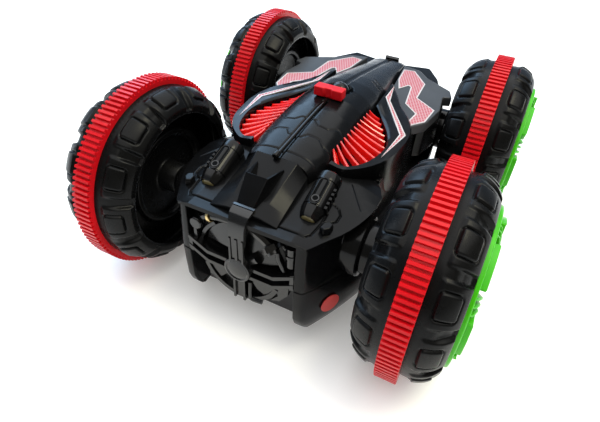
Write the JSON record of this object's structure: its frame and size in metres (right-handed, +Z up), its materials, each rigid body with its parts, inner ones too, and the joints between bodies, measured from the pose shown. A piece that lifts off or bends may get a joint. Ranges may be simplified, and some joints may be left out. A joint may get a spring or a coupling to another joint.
{
  "type": "rc stunt car",
  "caption": "Low double-sided stunt car with big toothed-ring wheels, paddle hubs, gear-linked axles, a sliding power switch and a sliding battery door.",
  "frame": {"origin": "centre of the car on the ground plane under its wheels", "axes": "+Z up, the nose points to -Y, the car's own left is +X, the axles run along X"},
  "size_m": [0.214, 0.25, 0.11],
  "materials": {
    "hull_black": "satin",
    "trim_black": "semi-gloss",
    "tyre_black": "satin",
    "ring_red": "satin",
    "hub_green": "satin",
    "radiator_red": "gloss",
    "fender_grey": "satin",
    "decal_print": "satin",
    "sticker_red": "satin",
    "lens_amber": "gloss",
    "gear_white": "satin",
    "case_grey": "satin",
    "steel": "brushed",
    "motor_can": "satin",
    "screw_steel": "satin",
    "board_green": "satin",
    "battery_blue": "satin"
  },
  "bodies": {
    "chassis": {"left_gear_case": "case_grey", "left_motor": "motor_can", "left_window_frame": "hull_black", "left_radiator": "radiator_red", "left_rear_fender": "fender_grey", "left_headlamp_pod": "trim_black", "right_gear_case": "case_grey", "right_motor": "motor_can", "right_window_frame": "hull_black", "right_radiator": "radiator_red", "right_rear_fender": "fender_grey", "right_headlamp_pod": "trim_black", "top_shell": "hull_black", "bottom_shell": "hull_black", "spine_cover": "hull_black", "spine_rod": "trim_black", "nose_clip": "trim_black", "nose_grille": "trim_black", "tail_grille": "trim_black", "axle_collars": "trim_black", "shell_screws": "screw_steel", "lamp_lenses": "lens_amber", "battery_pack": "battery_blue", "circuit_board": "board_green", "round_sticker": "sticker_red", "body_decals": "decal_print"},
    "front_left_wheel": {"front_left_inner_tyre": "tyre_black", "front_left_outer_tyre": "tyre_black", "front_left_tread_ring": "ring_red", "front_left_paddle_hub": "hub_green", "front_left_axle": "steel", "front_left_axle_gear": "gear_white"},
    "front_right_wheel": {"front_right_inner_tyre": "tyre_black", "front_right_outer_tyre": "tyre_black", "front_right_tread_ring": "ring_red", "front_right_paddle_hub": "hub_green", "front_right_axle": "steel", "front_right_axle_gear": "gear_white"},
    "rear_left_wheel": {"rear_left_inner_tyre": "tyre_black", "rear_left_outer_tyre": "tyre_black", "rear_left_tread_ring": "ring_red", "rear_left_paddle_hub": "hub_green", "rear_left_axle": "steel", "rear_left_axle_gear": "gear_white"},
    "rear_right_wheel": {"rear_right_inner_tyre": "tyre_black", "rear_right_outer_tyre": "tyre_black", "rear_right_tread_ring": "ring_red", "rear_right_paddle_hub": "hub_green", "rear_right_axle": "steel", "rear_right_axle_gear": "gear_white"},
    "left_front_idler_gear": {"left_front_idler_gear": "gear_white"},
    "left_centre_gear": {"left_centre_gear": "gear_white"},
    "left_rear_idler_gear": {"left_rear_idler_gear": "gear_white"},
    "left_motor_pinion": {"left_motor_pinion": "gear_white"},
    "right_front_idler_gear": {"right_front_idler_gear": "gear_white"},
    "right_centre_gear": {"right_centre_gear": "gear_white"},
    "right_rear_idler_gear": {"right_rear_idler_gear": "gear_white"},
    "right_motor_pinion": {"right_motor_pinion": "gear_white"},
    "power_switch": {"power_switch": "ring_red"},
    "battery_door": {"battery_door": "trim_black"}
  },
  "joints": [
    {"name": "front_left_wheel_spin", "type": "hinge", "parent": "chassis", "child": "front_left_wheel", "pos_m": [0.081, -0.07, 0.055], "axis": [1, 0, 0], "continuous": true},
    {"name": "rear_left_wheel_spin", "type": "hinge", "parent": "chassis", "child": "rear_left_wheel", "pos_m": [0.081, 0.07, 0.055], "axis": [1, 0, 0], "continuous": true},
    {"name": "left_front_idler_gear_spin", "type": "hinge", "parent": "chassis", "child": "left_front_idler_gear", "pos_m": [0.037, -0.035, 0.055], "axis": [1, 0, 0], "continuous": true},
    {"name": "left_centre_gear_spin", "type": "hinge", "parent": "chassis", "child": "left_centre_gear", "pos_m": [0.037, 0, 0.055], "axis": [1, 0, 0], "continuous": true},
    {"name": "left_rear_idler_gear_spin", "type": "hinge", "parent": "chassis", "child": "left_rear_idler_gear", "pos_m": [0.037, 0.035, 0.055], "axis": [1, 0, 0], "continuous": true},
    {"name": "left_motor_pinion_spin", "type": "hinge", "parent": "chassis", "child": "left_motor_pinion", "pos_m": [0.037, 0.01175, 0.03465], "axis": [1, 0, 0], "continuous": true},
    {"name": "front_right_wheel_spin", "type": "hinge", "parent": "chassis", "child": "front_right_wheel", "pos_m": [-0.081, -0.07, 0.055], "axis": [1, 0, 0], "continuous": true},
    {"name": "rear_right_wheel_spin", "type": "hinge", "parent": "chassis", "child": "rear_right_wheel", "pos_m": [-0.081, 0.07, 0.055], "axis": [1, 0, 0], "continuous": true},
    {"name": "right_front_idler_gear_spin", "type": "hinge", "parent": "chassis", "child": "right_front_idler_gear", "pos_m": [-0.037, -0.035, 0.055], "axis": [1, 0, 0], "continuous": true},
    {"name": "right_centre_gear_spin", "type": "hinge", "parent": "chassis", "child": "right_centre_gear", "pos_m": [-0.037, 0, 0.055], "axis": [1, 0, 0], "continuous": true},
    {"name": "right_rear_idler_gear_spin", "type": "hinge", "parent": "chassis", "child": "right_rear_idler_gear", "pos_m": [-0.037, 0.035, 0.055], "axis": [1, 0, 0], "continuous": true},
    {"name": "right_motor_pinion_spin", "type": "hinge", "parent": "chassis", "child": "right_motor_pinion", "pos_m": [-0.037, 0.01175, 0.03465], "axis": [1, 0, 0], "continuous": true},
    {"name": "power_switch_slide", "type": "slide", "parent": "chassis", "child": "power_switch", "axis": [0, 1, 0], "range_m": [0, 0.004]},
    {"name": "battery_door_slide", "type": "slide", "parent": "chassis", "child": "battery_door", "axis": [0, 1, 0], "range_m": [0, 0.066]}
  ],
  "couplings": [
    {"joint": "left_front_idler_gear_spin", "follows": "front_left_wheel_spin", "ratio": -1},
    {"joint": "left_centre_gear_spin", "follows": "front_left_wheel_spin", "ratio": 1},
    {"joint": "left_rear_idler_gear_spin", "follows": "front_left_wheel_spin", "ratio": -1},
    {"joint": "left_motor_pinion_spin", "follows": "front_left_wheel_spin", "ratio": -2.9167},
    {"joint": "rear_left_wheel_spin", "follows": "front_left_wheel_spin", "ratio": 1},
    {"joint": "right_front_idler_gear_spin", "follows": "front_right_wheel_spin", "ratio": -1},
    {"joint": "right_centre_gear_spin", "follows": "front_right_wheel_spin", "ratio": 1},
    {"joint": "right_rear_idler_gear_spin", "follows": "front_right_wheel_spin", "ratio": -1},
    {"joint": "right_motor_pinion_spin", "follows": "front_right_wheel_spin", "ratio": -2.9167},
    {"joint": "rear_right_wheel_spin", "follows": "front_right_wheel_spin", "ratio": 1}
  ]
}
